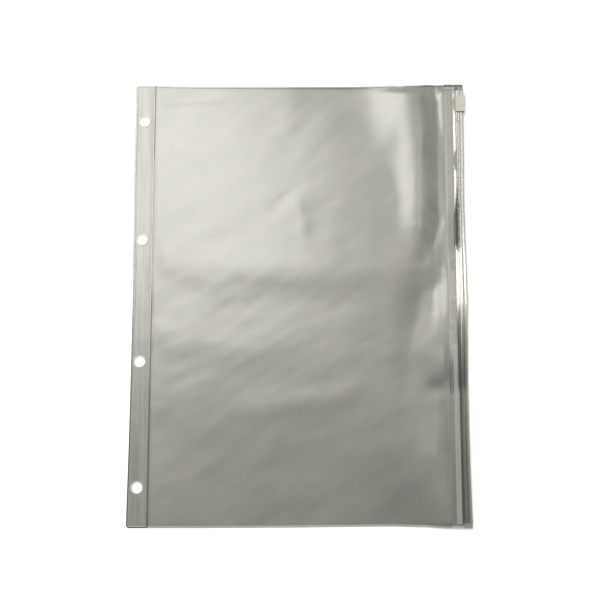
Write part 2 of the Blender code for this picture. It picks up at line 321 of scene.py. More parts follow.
def back_height(x):
    """The back film lies flat and climbs to the zip."""
    return back_base * toward_zip(x, ZIP_RUN)


def crown_height(x, y):
    """The swell of the film without its folds: the CAD shape."""
    run = END_LONG + (END_SHORT - END_LONG) * toward_zip(x, END_REACH)
    inward = arch((panel_end - np.abs(y) - LAND) / (run - LAND))
    across = arch((x - pocket_left - LAND) / (CROWN_X - pocket_left - LAND))
    crown = FILM + PLY_GAP + (CROWN - FILM - PLY_GAP) * across
    inside = crown + (front_right - crown) * toward_zip(x, ZIP_RUN)
    edge = back_height(x) + FILM + PLY_GAP
    return edge + (inside - edge) * inward


print(f"swell: {CROWN:.2f} mm, and {front_right:.2f} mm beside the zip")

# %% [markdown]
# ## Folds
# Long folds run down beside the zip, and low ones cross the page. A cloth simulation makes folds too, but
# not these ones in these places. So each fold is a crest, a bell-shaped rise along a line of points, or a
# valley if its height is below zero. Glossy film shows a fold by its slopes, which mirror the lamps or turn
# away from them.

# %% Folds
def crest(x, y, line, width, end_width=None):
    """A bell-shaped rise along a line of points, each with its own height, whose width may change."""
    nearest, height = np.full(np.shape(x), np.inf), np.zeros(np.shape(x))
    wide = np.full(np.shape(x), float(width))
    widths = np.linspace(width, end_width or width, len(line))
    for (ax, ay, ah), (bx, by, bh), aw, bw in zip(line, line[1:], widths, widths[1:]):
        dx, dy = bx - ax, by - ay
        t = np.clip(((x - ax) * dx + (y - ay) * dy) / (dx * dx + dy * dy), 0, 1)
        away = (x - ax - t * dx) ** 2 + (y - ay - t * dy) ** 2
        height = np.where(away < nearest, ah + (bh - ah) * t, height)
        wide = np.where(away < nearest, aw + (bw - aw) * t, wide)
        nearest = np.minimum(nearest, away)
    return height * np.exp(-nearest / wide ** 2)


# The points of each line (x, y, height), its width, and its width at the end if that differs
FOLDS = [
    ([(-93, 26, 0.5), (-44, 20.5, 0.95), (20, 22, 0.95), (46, 20, 0.9), (66, 18, 0.4)], 14),
    ([(-94, -25, 0.28), (-39, -31, 0.28), (0, -26, 0.2)], 13),
    ([(-46, -76, 0.1), (-19, -74, 0.3), (16, -64.5, 0.38), (38, -57, 0.15)], 7),
    ([(78.5, 146, 2.8), (78, 130, 2.7), (77.5, 116, 2.5), (77.5, 103, 2.4), (78.8, 86, 2.3), (78.5, 62, 2.2),
      (76.5, 48, 2.2), (74, 38, 1.1), (73.5, 24, 0)], 15, 9),
    ([(61.5, 146, 1.7), (62, 128, 1.6), (61.5, 112, 1.2), (61.5, 100, 0.6), (62, 86, 0)], 15),
    ([(90, 146, -2.9), (90, 122, -1.9), (89.5, 104, -0.65), (89.5, 66, -0.8)], 4.5),
    ([(90, 62, -0.7), (91, 50, -0.8), (88, 38, -0.6)], 3.5),
    ([(80, 50, 0.3), (84, 41, 0.3)], 3.5),
    ([(80, 29, -0.3), (82, 27, -0.3)], 3.5),
    ([(90, 30, -0.3), (90, 20, -0.5), (87.5, 8, -0.55), (86.5, -6, -0.4), (85, -18, -0.2)], 4.5),
    ([(85, 20, -0.3), (80.5, 8, -1.55), (78, -6, -1.65), (74, -20, -1.3), (71.5, -34, -0.85),
      (72, -62, -0.45), (74, -90, 0)], 11),
    ([(76, -34, 0.1), (86, -39, 0.5), (92, -41, 0.8), (99, -43, 0.9)], 8),
    ([(87, -66, 0.5), (87, -99, 0.5)], 6),
    ([(86, -99, 0.4), (86, -146, 0.4)], 8),
    ([(-2, 74, -0.1), (-10, 67, -0.3), (-19, 61, -0.2)], 4),
    ([(-6, 143, 0.12), (-8, 118, 0.15), (-8, 108, 0)], 8),
    ([(84, 4, -0.5), (85, 2, -0.5)], 15),
    ([(0, 62, 0.16), (3, 54, 0.16), (2, 44, 0.16)], 5),
    ([(-95, 103, 0.3), (-88, 102, 0.3)], 3),
    ([(40, -95, 0.4), (75, -100, 0.4)], 14),
    ([(85, 146, 0.7), (85, 118, 0)], 100),
    ([(-72, -88, 0), (-52, -85, 0.22), (-34, -83, 0)], 9),
    ([(-40, -70, 0), (-28, -68, 0.18), (-8, -66, 0.18), (6, -62, 0.1), (14, -60, 0)], 6),
]
print(f"{len(FOLDS)} folds, the highest {max(point[2] for line, *_ in FOLDS for point in line):.1f} mm")

# %% [markdown]
# ## Waves
# Between its folds soft film keeps low waves from the roll and from the hand that wiped it smooth, and
# puckers stand off the spine weld. They could be a bump in the finish, but real height also shows from the
# side. Noise in four sizes gives it. At the welds it fades away, except at the top, where the weld lifts
# with the folds.

# %% Waves
def cloudiness(x, y, size, seed):
    """Slow noise from -1 to 1."""
    points = np.stack([x.ravel() / size, y.ravel() / size, np.full(x.size, seed)], axis=1)
    return np.array([noise.noise(p) for p in points]).reshape(x.shape)


def drawn_out(x, y, along, across, turn, seed):
    """The same noise, drawn out along one direction, as in film that was wiped smooth by hand."""
    c, s = math.cos(math.radians(turn)), math.sin(math.radians(turn))
    return cloudiness((x * c + y * s) / along, (y * c - x * s) / across, 1.0, seed)


# How much of a fold's height is left where it meets the top weld, which lifts with it
TOP_LIFT = 0.8
# How far from the spine, the zip and the ends the folds reach their full height, and how far from the top
# weld the film starts to follow it
FOLD_FADES, TOP_FADE = (8.0, 2.5, 2.5), 4.0
# Waves: height, length, width, how many degrees they are turned, and the seed of their noise
WAVES = [(0.2, 46.0, 46.0, 0.0, 3.1), (0.2, 46.0, 15.0, 28.0, 7.7), (0.07, 18.0, 7.0, 32.0, 17.2),
         (0.025, 9.0, 4.5, 20.0, 23.8)]
# How far noise bends the lines of the folds, how much less at the zip, and the size of that noise
BEND, LESS_BEND, BEND_RUN, BEND_SIZE = 3.5, 2.3, 40.0, 21.0
PUCKER_HEIGHT, PUCKER_REACH, PUCKER_SIZE = 0.16, 6.0, 6.0


def edge_fade(x, y, left, right, ends, top=0.0):
    """1 in the open film, and at the top weld what is given, and 0 at the other welds."""
    across = smooth((x - pocket_left - LAND) / left) * smooth((pocket_right - LAND - x) / right)
    end = smooth((panel_end - LAND - np.abs(y)) / ends)
    return across * np.where(y > 0, top + (1 - top) * end, end)


def top_lift(x):
    """How far the folds lift the top weld off the table."""
    at = np.asarray(x, float)
    end = np.full(at.shape, panel_end)
    folds = sum(crest(at, end, *fold) for fold in FOLDS)
    return np.maximum(0.0, folds * edge_fade(at, end, *FOLD_FADES, TOP_LIFT))


def front_height(x, y):
    """The swell with its folds, waves and puckers."""
    bend = BEND - LESS_BEND * toward_zip(x, BEND_RUN)
    bent_x = x + bend * cloudiness(x, y, BEND_SIZE, 31.7)
    bent_y = y + bend * cloudiness(x, y, BEND_SIZE, 41.9)
    folds = sum(crest(bent_x, bent_y, *fold) for fold in FOLDS)
    waves = sum(high * drawn_out(x, y, *wave) for high, *wave in WAVES)
    beside_spine = np.exp(-(x - pocket_left) / PUCKER_REACH) * smooth((x - pocket_left - LAND) / 2.0)
    puckers = PUCKER_HEIGHT * beside_spine * cloudiness(x * 0.3, y, PUCKER_SIZE, 11.3)
    swell = crown_height(x, y)
    shape = swell + edge_fade(x, y, *FOLD_FADES, TOP_LIFT) * (folds + waves)
    shape = shape + puckers * smooth((panel_end - np.abs(y)) / PUCKER_REACH)
    at_top = smooth((y - panel_end + TOP_FADE) / TOP_FADE)
    return shape + at_top * (swell + top_lift(x) - shape)


print(f"top weld lifted by up to {top_lift(np.linspace(pocket_left, pocket_right, 200)).max():.1f} mm")

# %% [markdown]
# ## Painted shade and outline of the film
# The film gets painted shade in dark patches among its folds and where it turns down to a weld. These
# places are lines with a width, so the folds' crest gives their shade too. Shrinkage and the lifted folds
# draw the page's ends in by about a millimetre, which moves the points of the sheet.

# %% Painted shade and outline
# The points of each patch of painted shade (x, y, how dark) and its width
SHADE_PATCHES = [
    ([(84, -53, 0.5), (101, -50, 0.65)], 5.5),
    ([(76, -59, 0.1), (88, -55, 0.3)], 4),
    ([(98, -64, 0.1), (98, -92, 0.26), (98, -146, 0.3)], 4.5),
    ([(36, -118, 0.1), (68, -138, 0.32)], 24),
    ([(-90, 131, 0.22), (-52, 133, 0.18)], 1.8),
    ([(80.5, 136, 0.12), (80.5, 118, 0.28), (81.5, 98, 0.16)], 2.8),
    ([(85, 63, 0.18), (88, 60, 0.18)], 2.5),
    ([(80, 46, 0.16), (82, 40, 0.16)], 2.5),
    ([(91, 35, 0.32), (91.5, 26, 0.45), (90, 19, 0.2)], 2.8),
    ([(-5, 75, 0.1), (-18, 60, 0.1)], 3),
    ([(2, 58, 0.12), (5, 42, 0.12), (3, 34, 0.1)], 3.5),
    ([(-97, -29, 0.45), (-95, -30, 0.3), (-86, -31, 0.08)], 3.5),
    ([(-97, -28, 0.4), (-97, -31, 0.4)], 2),
    ([(-97, 4, 0.45), (-97, -7, 0.45)], 2),
    ([(93, -58, 0.12), (93, -80, 0.08), (93, -100, 0)], 4),
    ([(50, -104, 0.06), (66, -118, 0.1)], 13),
    ([(56, 36, 0.07), (58, 4, 0.07)], 13),
    ([(22, -60, 0.08), (56, -48, 0.13)], 11),
]


# Painted shade in dark patches and lines among the film's folds
def painted_shade(x, y):
    return sum(crest(x, y, *patch_line) for patch_line in SHADE_PATCHES)


def spine_bow(y):
    """Where, along the spine, the painted shade line lies a little further into the film."""
    return smooth((y + 5) / 20) * smooth((105 - y) / 20)


def edge_shade_lines(x, y):
    """Painted shade where the film turns down to the spine weld, the bottom weld and the top weld."""
    bow = spine_bow(y)
    spine = (0.45 + 0.25 * bow) * bell(x - pocket_left - 0.5 * bow, 0.8)
    bottom = np.interp(x, [-97, 0, 60, 96], [0.16, 0.05, 0.12, 0.35])
    top = np.interp(x, [-97, -60, -20, 20, 40, 60, 90], [0.0, 0.15, 0.7, 1.0, 1.0, 0.6, 0.3])
    return spine + bottom * bell(y + panel_end, 1.6) + top * bell(y - panel_end, 1.4)


# How far the soft page's outline is drawn in at its top and bottom, from the spine to the zip
DRAW_AT = [-97, -80, -60, 0, 35, 60, 66, 77, 80, 84, 87, 92]
TOP_DRAW = [0.1, 0.5, 0.8, 0.8, 0.8, 0.65, 1.15, 1.25, 1.1, 0.5, 0.1, 0.0]
BOTTOM_DRAW = [0.0, 0.0, 0.0, 0.4, 0.8, 1.1, 1.0, 0.85, 0.8, 0.5, 0.35, 0.0]


def drawn_in(x, y):
    """Moves the film's points so that its ends follow the bowed outline."""
    reach = np.abs(y) / panel_end
    inward = np.where(y > 0, np.interp(x, DRAW_AT, TOP_DRAW), np.interp(x, DRAW_AT, BOTTOM_DRAW))
    return x, y - np.sign(y) * inward * reach ** 4


def steps(low, high, size):
    """Even steps of about this size."""
    return np.linspace(low, high, max(2, round((high - low) / size) + 1))


print(f"{len(SHADE_PATCHES)} painted_patches, ends drawn in by up to {max(TOP_DRAW)} mm")

# %% Make the front film
front_film = sheet_piece("front_film", steps(pocket_left, pocket_right, 1.5),
                         steps(-panel_end, panel_end, 1.8), front_height, FILM, draw=drawn_in)
film_xs, film_ys = points_mm(front_film)
# Painted shade: dark patches among the folds, and dark lines where the film turns down to its welds
paint(front_film, painted_shade(film_xs, film_ys) + edge_shade_lines(film_xs, film_ys))
finish_piece(front_film, "pocket", ["front_panel"], film_vinyl)

# %% [markdown]
# ## The back film
# The back film lies on the table and climbs to the zip. It shows through the front one, and it is the
# pocket's whole face when the page is turned over, so it has its own slight waves, all of them upwards from
# the table.

# %% Make the back film
BACK_FADES, BACK_WAVE, BACK_LIFT_RUN = (9.0, 9.0, 9.0), 0.06, 25.0


def back_film_height(x, y):
    waves = edge_fade(x, y, *BACK_FADES) * BACK_WAVE * (1 + cloudiness(x, y, 40.0, 21.4))
    return back_height(x) + waves + top_lift(x) * smooth((y - panel_end + BACK_LIFT_RUN) / BACK_LIFT_RUN)


back_film = sheet_piece("back_film", steps(pocket_left, pocket_right, 3.0),
                        steps(-panel_end, panel_end, 4.0), back_film_height, FILM, draw=drawn_in)
finish_piece(back_film, "pocket", ["back_panel"], film_vinyl)

# %% [markdown]
# ## The punched strip
# The binder's rings go through four round holes in the strip's two films. A grid with holes could be laid
# out by hand, but a Boolean with a round cutter is simpler and leaves true circles. The punch also presses
# a soft rim up round each hole, which is a small ring of its own.

# %% Strip films
HOLE_RADIUS, HOLE_SETBACK = 3.25, 6.5
HOLES = [(page_left + HOLE_SETBACK, y) for y in (-120.0, -40.0, 40.0, 120.0)]
FRONT_SEED, BACK_SEED = 5.2, 9.9


def punch(piece):
    """Cuts the ring holes through a finished film."""
    for x, y in HOLES:
        bpy.ops.mesh.primitive_cylinder_add(vertices=64, radius=HOLE_RADIUS * MM, depth=4 * MM,
                                            location=(x * MM, y * MM, 0))
        cutter = bpy.context.object
        cut = piece.modifiers.new("hole", "BOOLEAN")
        cut.object = cutter
        apply_modifiers(piece)
        bpy.data.objects.remove(cutter)


def strip_wave(x, y, seed):
    """Slight ripples along the strip, none at its edges."""
    to_side = np.minimum(x - strip_left, strip_right - x)
    inside = smooth((to_side - 0.2) / 1.5) * smooth((strip_end - np.abs(y)) / 4)
    broad = 0.08 * (1 + cloudiness(x, y, 15.0, seed))
    narrow = 0.05 * (1 + drawn_out(x, y, 26.0, 3.2, 90.0, seed + 2))
    return inside * (broad + narrow)


# How far the strip's outer edge is drawn in, from its lower end to its upper end
LEFT_AT = [-146, -137, -91, -65, -19, 14, 66, 80, 132, 146]
LEFT_DRAW = [0.0, 0.05, 0.65, 0.85, 1.05, 1.0, 0.35, 0.1, 0.3, 0.0]


def strip_drawn_in(x, y):
    """Moves points so that the outer edge follows the bowed outline."""
    reach = (strip_right - x) / (strip_right - strip_left)
    return x + np.interp(y, LEFT_AT, LEFT_DRAW) * reach ** 4, y


STRIP_PLIES = {
    "strip_front_film": ("strip_front_ply", lambda x, y: ply_top - FILM + strip_wave(x, y, FRONT_SEED)),
    "strip_back_film": ("strip_back_ply", lambda x, y: 0.1 * strip_wave(x, y, BACK_SEED)),
}
# Columns that lie close together at the outer edge, where a fine dark line runs
edge_xs = strip_left + np.array([0.0, 0.2, 0.4, 0.6, 0.9])
strip_xs = np.concatenate([edge_xs, steps(strip_left + 1.6, strip_right, 1.2)])
for name, (node, height) in STRIP_PLIES.items():
    ply = sheet_piece(name, strip_xs, steps(-strip_end, strip_end, 2.4), height, FILM, draw=strip_drawn_in)
    punch(ply)
    xs, ys = points_mm(ply)
    # Random streaks of tone, and painted shade: a dark line along the outer edge in the upper half and a
    # crease across the strip
    streaks = 0.22 * drawn_out(xs, ys, 15.0, 3.5, 90.0, 13.6)
    upper_half = smooth((ys - 10) / 50)
    outer_edge_shade = 0.6 * upper_half * bell(xs - strip_left - 0.4, 0.3)
    crease_shade = 0.16 * bell(ys + 29, 5)
    paint(ply, streaks + outer_edge_shade + crease_shade)
    finish_piece(ply, "hole_strip", [node], strip_vinyl)

# %% Rims of the holes
# Across from the hole's edge, and up from the film
RIM = [(0.0, -0.03), (0.0, 0.08), (0.08, 0.10), (0.35, 0.10), (0.60, 0.07), (0.80, 0.02), (0.90, -0.03)]
RIM_TURNS = 64


def rim_mesh():
    """Four low rings as one mesh, their outer slope dark on the side away from the lamp."""
    verts, faces, tints = [], [], []
    n = len(RIM)
    for x, y in HOLES:
        base = len(verts)
        top = ply_top + strip_wave(np.array([x + HOLE_RADIUS]), np.array([y]), FRONT_SEED)[0]
        for t in range(RIM_TURNS):
            a = 2 * math.pi * t / RIM_TURNS
            for p, (out, up) in enumerate(RIM):
                r = HOLE_RADIUS + out
                verts.append(((x + r * math.cos(a)) * MM, (y + r * math.sin(a)) * MM, (top + up) * MM))
                tints.append(0.6 * max(0.0, math.cos(a + 0.9)) if out > 0.5 else 0.0)
                q, u = (p + 1) % n, (t + 1) % RIM_TURNS
                faces.append((base + t * n + p, base + u * n + p, base + u * n + q, base + t * n + q))
    mesh = bpy.data.meshes.new("hole_rims")
    mesh.from_pydata(verts, [], faces)
    return mesh, tints


rims, rim_tints = rim_mesh()
hole_rims = new_piece("hole_rims", rims, sharp=80)
paint(hole_rims, rim_tints)
hole_rims.data.materials.append(rim_vinyl)
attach(hole_rims, "hole_strip")
print("hole_rims:", len(HOLES), "rings")

# %% [markdown]
# ## Welded edges
# A heated bar fuses the films along the edges. It squeezes them thin and pushes a bead out at each side,
# and the knife that parts the pockets leaves a cut edge, dark because light runs along inside the film. A
# bevelled curve could follow the edges, but can't hold the two lines of painted shade, at the cut edge and
# where the bead meets the film. So the section is set at every step along the three sides, and these rings
# are joined into one closed skin.

# %% Make a skin from rings
def ring_piece(name, rings, sharp):
    """Rings of points, in millimetres, joined into one closed skin with its two ends filled."""
    rings = np.asarray(rings, float)
    count, around, _ = rings.shape
    faces = []
    for r in range(count - 1):
        for p in range(around):
            q = (p + 1) % around
            faces.append((r * around + p, r * around + q, (r + 1) * around + q, (r + 1) * around + p))
    faces.append(tuple(range(around))[::-1])
    faces.append(tuple((count - 1) * around + p for p in range(around)))
    mesh = bpy.data.meshes.new(name)
    mesh.from_pydata((rings.reshape(-1, 3) * MM).tolist(), [], faces)
    skin = bmesh.new()
    skin.from_mesh(mesh)
    bmesh.ops.recalc_face_normals(skin, faces=skin.faces[:])
    skin.to_mesh(mesh)
    skin.free()
    return new_piece(name, mesh, sharp)


# %% Section of a welded edge
# Across from the cut edge, up from the middle of the films, and how much painted shade the outer and the
# inner line get
EDGE_SECTION = [
    (0, 0, 0.9, 0), (0.02, 0.06, 0.95, 0), (0.14, 0.13, 1, 0), (0.3, 0.17, 1, 0), (0.45, 0.18, 1, 0),
    (0.6, 0.18, 1, 0.2), (0.8, 0.18, 0.9, 0.7), (0.95, 0.18, 0.5, 1), (1.08, 0.16, 0.1, 1), (1.2, 0.1, 0, 1),
    (1.32, 0.14, 0, 0.8), (1.4, 0, 0, 0.6),
]


def closed_section(section):
    """The section's upper side, and the same below, as one ring."""
    return section + [(s, -z, *tint) for s, z, *tint in section[-2:0:-1]]


def edge_rings(path, inward):
    """The section at each point of a path, its width running inwards."""
    section = closed_section(EDGE_SECTION)
    return [[(x + ix * s, y + iy * s, z + up) for s, up, *_ in section]
            for (x, y, z), (ix, iy) in zip(path, inward)]


def edge_tint(weights):
    """How much painted shade each point gets, where the two lines have these weights along the path."""
    return [a * outer + b * inner for a, b in weights for _, _, outer, inner in closed_section(EDGE_SECTION)]


print(f"edge section: {len(closed_section(EDGE_SECTION))} points, {EDGE_SECTION[-1][0]} mm wide")

# %% Edge of the strip
CORNER = 2.0
CORNER_TURNS = np.radians(np.linspace(90, 180, 10)[1:])


def strip_edge_path():
    """Places from the spine round both corners to the spine again, and the way inwards at each."""
    corner_x, corner_y = page_left + CORNER, page_end - CORNER
    upper = [((x, page_end), (0, -1)) for x in np.linspace(strip_right, corner_x, 6)]
    for c, s in zip(np.cos(CORNER_TURNS), np.sin(CORNER_TURNS)):
        upper.append(((corner_x + CORNER * c, corner_y + CORNER * s), (-c, -s)))
    side = [((page_left + np.interp(y, LEFT_AT, LEFT_DRAW), y), (1, 0))
            for y in np.linspace(corner_y, -corner_y, 100)[1:-1]]
    lower = [((x, -y), (ix, -iy)) for (x, y), (ix, iy) in reversed(upper)]
    places = upper + side + lower
    return [(x, y, fold_z) for (x, y), _ in places], [way for _, way in places]


path, inward = strip_edge_path()
strip_edge_bead = ring_piece("strip_edge_bead", edge_rings(path, inward), sharp=70)
# The painted shade of the outer line fades towards the top, and that of the inner one gains a little
path_ys = [y for _, y, _ in path]
outer_dark, inner_dark = (np.interp(path_ys, [-20, 60], ends) for ends in ((1.0, 0.12), (0.1, 0.2)))
paint(strip_edge_bead, edge_tint(zip(outer_dark, inner_dark)))
finish_piece(strip_edge_bead, "hole_strip", ["strip_edge_weld"], weld_vinyl)

# %% Top and bottom edges
# How much painted shade the cut edge gets along the top and bottom edges
OUTER_DARK = 0.1
# For each edge its node, its side, how far it is drawn in, and how much painted shade its inner line gets
PAGE_EDGES = {
    "top_edge_bead": ("top_weld", 1, TOP_DRAW,
                      [0.7, 0.6, 0.75, 0.9, 1.0, 0.8, 0.85, 0.95, 1.0, 1.0, 1.0, 1.0]),
    "bottom_edge_bead": ("bottom_weld", -1, BOTTOM_DRAW,
                         [0.6, 0.5, 0.5, 0.1, 0.1, 0.2, 0.25, 0.3, 0.3, 0.35, 0.4, 0.5]),
}
edge_steps = steps(pocket_left, pocket_right, 2.0)
for name, (node, side, draw, inner) in PAGE_EDGES.items():
    ys = side * (page_end - np.interp(edge_steps, DRAW_AT, draw))
    zs = back_height(edge_steps) + fold_z + (top_lift(edge_steps) if side > 0 else 0.0)
    bead = ring_piece(name, edge_rings(zip(edge_steps, ys, zs), [(0, -side)] * len(edge_steps)), sharp=70)
    paint(bead, edge_tint([(OUTER_DARK, dark) for dark in np.interp(edge_steps, DRAW_AT, inner)]))
    finish_piece(bead, "pocket", [node], weld_vinyl)

# %% [markdown]
# ## The spine weld
# The line between the strip and the pocket is welded thin, and the page folds there. Fixed to either body
# it would tear off the other.

# %% Make the spine weld
# Across from the fold, up from the middle of the films, and how much painted shade
SPINE_SECTION = [
    (-0.7, 0, 0.2), (-0.68, 0.15, 0.2), (-0.54, 0.1, 0.3), (-0.42, 0.15, 0.1), (-0.34, 0.18, 0),
    (-0.22, 0.19, 0), (-0.1, 0.19, 0), (0, 0.19, 0.3), (0.1, 0.18, 0.9), (0.26, 0.14, 1), (0.44, 0.06, 1),
    (0.66, 0.14, 1), (0.7, 0, 1),
]
spine_ys = steps(-page_end, page_end, 2.5)
section = closed_section(SPINE_SECTION)
spine_rings = [[(fold_x + s, y, fold_z + up) for s, up, _ in section] for y in spine_ys]
spine_bead = ring_piece("spine_bead", spine_rings, sharp=80)


def spine_tint(s, dark, y):
    """Painted shade: a fine line beside the raised middle, which takes in the middle too in the lower half.
    """
    wide = 0.7 * smooth((-10 - y) / 60) if -0.5 < s < 0.1 else 0.0
    return max(dark * (1 - 0.6 * spine_bow(y)), wide)


paint(spine_bead, [spine_tint(s, dark, y) for y in spine_ys for s, _, dark in section])
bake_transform(spine_bead)
finish_piece(spine_bead, None, ["spine_weld"], weld_vinyl)

# %% [markdown]
# ## Ribbed welds beside the zip
# Each film is welded to its side of the zip with a toothed bar, which leaves a ladder of fine ribs. They
# are real geometry, not bump, because they catch the light as separate lines. A rib is one hump of a
# squared sine wave.

# %% Make the ribbed welds
RIB_PITCH, RIB_HEIGHT, RIB_MARGIN = 1.312, 0.06, 0.5
# How many degrees the band falls towards the zip, from its lower end to its upper end
BAND_AT = [-2, 8, 20, 34]
BAND_TILT = [0.0, 1.0, 1.6, 2.6]


def rib_height(x, y):
    """The ladder of ribs, which stops short of the band's edges."""
    across = smooth((x - band_left) / RIB_MARGIN - 0.3) * smooth((band_right - x) / RIB_MARGIN - 0.3)
    ends = smooth((tape_end - np.abs(y)) / 2.0)
    return RIB_HEIGHT * across * ends * np.sin(math.pi * y / RIB_PITCH) ** 2


def band_fall(x, y):
    """How far the tilted band lies below its level at the film."""
    return np.tan(np.radians(np.interp(y, BAND_AT, BAND_TILT))) * (x - band_left)


# How much painted shade lies in the grooves between the ribs, from the lower end to the upper end
GROOVE_AT = [-30, -28, -17, -15, -12, -1, 1, 18, 20, 25, 27]
GROOVE_DARK = [0.05, 0.6, 0.6, 0.1, 0.55, 0.55, 0.05, 0.05, 0.5, 0.5, 0.05]
# Two stretches of painted shade across the band, the lower one mostly on the film's side
SHADE_STRETCH_AT = [-62, -57, -52, -46, -38, -28, 24, 36, 52, 64]
SHADE_STRETCH_DARK = [0.0, 0.4, 0.9, 0.8, 0.5, 0.0, 0.0, 0.3, 0.25, 0.0]
# How much of the band's width lies on the film's side
FILM_SIDE = 2.9


def band_tint(x, y):
    """Painted shade: between the ribs, over the lower half and more on the film's side there, in two
    stretches across the band, and a shadow by the zip.
    """
    lower = smooth((-30 - y) / 30)
    deepest = 0.36 + 0.2 * (x - band_left) / 2.6 + 0.1 * smooth((-80 - y) / 40)
    film_side_shade = lower * deepest * smooth((band_left + FILM_SIDE - x) / 0.5)
    grooves = np.interp(y, GROOVE_AT, GROOVE_DARK) * smooth(0.5 + 0.9 * np.cos(2 * math.pi * y / RIB_PITCH))
    film_side = np.where(y < 0, smooth((band_left + FILM_SIDE - x) / 0.8), 1.0)
    shade_stretches = np.interp(y, SHADE_STRETCH_AT, SHADE_STRETCH_DARK) * (0.35 + 0.65 * film_side)
    shadow = 0.7 * smooth((x - band_right + 0.9) / 0.5) * smooth((y - 32) / 5) * smooth((60 - y) / 6)
    return 0.09 * lower + film_side_shade + grooves * smooth((x - band_left - 0.8) / 1.5) + shade_stretches + shadow


band_xs = np.concatenate([[band_left], steps(band_left + 0.2, band_right - 0.2, 0.45), [band_right]])
band_ys = steps(-tape_end, tape_end, RIB_PITCH / 5)
BAND_THICKNESS, FRONT_RISE, BACK_RISE = 0.32, 0.12, 0.13
BANDS = {
    "front_ribbed_weld": ("front_tape_weld",
                          lambda x, y: band_bottom + FRONT_RISE + rib_height(x, y) - band_fall(x, y)),
    "back_ribbed_weld": ("back_tape_weld",
                         lambda x, y: back_base + BACK_RISE - rib_height(x, y) + band_fall(x, y)),
}
for name, (node, height) in BANDS.items():
    band = sheet_piece(name, band_xs, band_ys, height, BAND_THICKNESS)
    paint(band, band_tint(*points_mm(band)))
    finish_piece(band, "pocket", [node], rib_vinyl)

# %% [markdown]
# ## The zip
# The zip is two clear extruded strips, a rib with a wide head and the groove that holds it, each with a
# ridge that keeps the slider on. Soft strips twist along their length, so their faces catch the light in
# some places and lose it in others, and painted shade set along the zip darkens them further. A curve could
# sweep the section, but only as a whole. So the section is set at every step, where its web, ridge and track
# tip by a few degrees, each on its own.

# %% Sections of the zip strips
# Distance in from the zip's outer edge, and height
FRONT_TOP = [
    (7.2, 3.58), (6.95, 3.58), (6.7, 3.58), (6.45, 3.57), (6.2, 3.57), (5.9, 3.57), (5.6, 3.57), (5.3, 3.57),
    (5, 3.57), (4.8, 3.57), (4.72, 3.62), (4.66, 3.92), (4.58, 4), (4.2, 4), (4.02, 4), (3.98, 4), (3.9, 4),
    (3.5, 4), (3.1, 4), (2.64, 4), (2.54, 3.92), (2.46, 3.7), (2.36, 3.66), (2.1, 3.66), (1.8, 3.66),
    (1.4, 3.66), (1, 3.66), (0.7, 3.66), (0.4, 3.65), (0.14, 3.56), (0, 3.36),
]
FRONT_UNDER = [
    (0.06, 3.18), (0.25, 3.1), (1.95, 3.1), (2.05, 3), (2.05, 2.58), (1.83, 2.5), (1.86, 2.36), (2.05, 2.09),
    (2.3, 2.05), (2.55, 2.09), (2.74, 2.36), (2.77, 2.5), (2.55, 2.58), (2.55, 3), (2.65, 3.1), (7.2, 3.1),
]
ZIP_WIDTH = FRONT_TOP[0][0]
zip_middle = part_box("slider")[1].z / MM / 2
BACK_UNDER = [(u, 2 * zip_middle - z) for u, z in reversed(FRONT_TOP)]
BACK_TOP = [
    (7.2, 1.9), (3.36, 1.9), (3.3, 1.98), (3.3, 2.82), (3.22, 2.9), (2.78, 2.9), (2.7, 2.8), (2.7, 2.66),
    (2.9, 2.6), (2.9, 1.96), (2.84, 1.9), (1.76, 1.9), (1.7, 1.96), (1.7, 2.6), (1.9, 2.66), (1.9, 2.8),
    (1.82, 2.9), (1.38, 2.9), (1.3, 2.82), (1.3, 1.98), (1.24, 1.9), (0.25, 1.9), (0.06, 1.82),
]
print(f"zip sections: {len(FRONT_TOP + FRONT_UNDER)} and {len(BACK_TOP + BACK_UNDER)} points,",
      f"middle at z {zip_middle:.2f}")

# %% How the zip strips twist
# Along the zip: millimetres of the web that lie level, millimetres that the outer edge is drawn in, and how
# much painted shade the web, the ridge and the track get
ZIP_COLUMNS = ("y", "level", "draw", "web_painted_shade", "ridge_painted_shade", "track_painted_shade")
ZIP_STATIONS = [
    (-141, 0, 0, 0.97, 0.82, 0.68), (-104, 0, 0.7, 0.97, 0.82, 0.72), (-82, 0, 0.9, 0.9, 0.75, 0.6),
    (-62, 0, 0.9, 0.9, 0.78, 0.5), (-54, 0, 0.9, 1, 0.92, 0.78), (-48, 0, 0.9, 1, 0.92, 0.82),
    (-32, 0, 0.6, 0.9, 0.75, 0.62), (-20, 0, 0.5, 0.72, 0.55, 0.5), (-10, 0.6, 0.3, 0.45, 0.25, 0.25),
    (-2, 2.35, 0, 0, 0, 0.05), (30, 2.35, 0.4, 0, 0, 0.05), (36, 0, 0.6, 0.95, 0.95, 0.05),
    (58, 0, 0.8, 0.97, 0.97, 0.05), (62, 0.3, 0.8, 0.9, 0.95, 0.05), (68, 1.2, 0.8, 0.7, 0.9, 0.05),
    (80, 1.6, 0.7, 0.3, 0.6, 0.05), (86, 1.6, 0.6, 0.25, 0.5, 0.05), (88.5, 0, 0.5, 0.25, 0.5, 0.05),
    (97, 0, 0.4, 0.25, 0.5, 0.05), (99.5, 1.5, 0.4, 0.3, 0.55, 0.05), (126, 1.5, 0.1, 0.2, 0.35, 0.05),
    (128.5, 0.2, 0.1, 0.2, 0.35, 0.05), (135, 0, 0, 0.1, 0.15, 0.05), (137, 1.2, 0, 0.1, 0.15, 0.05),
    (139.5, 1.2, 0, 0.1, 0.15, 0.05), (141, 0, 0, 0.1, 0.15, 0.05),
]
zip_table = dict(zip(ZIP_COLUMNS, zip(*ZIP_STATIONS)))
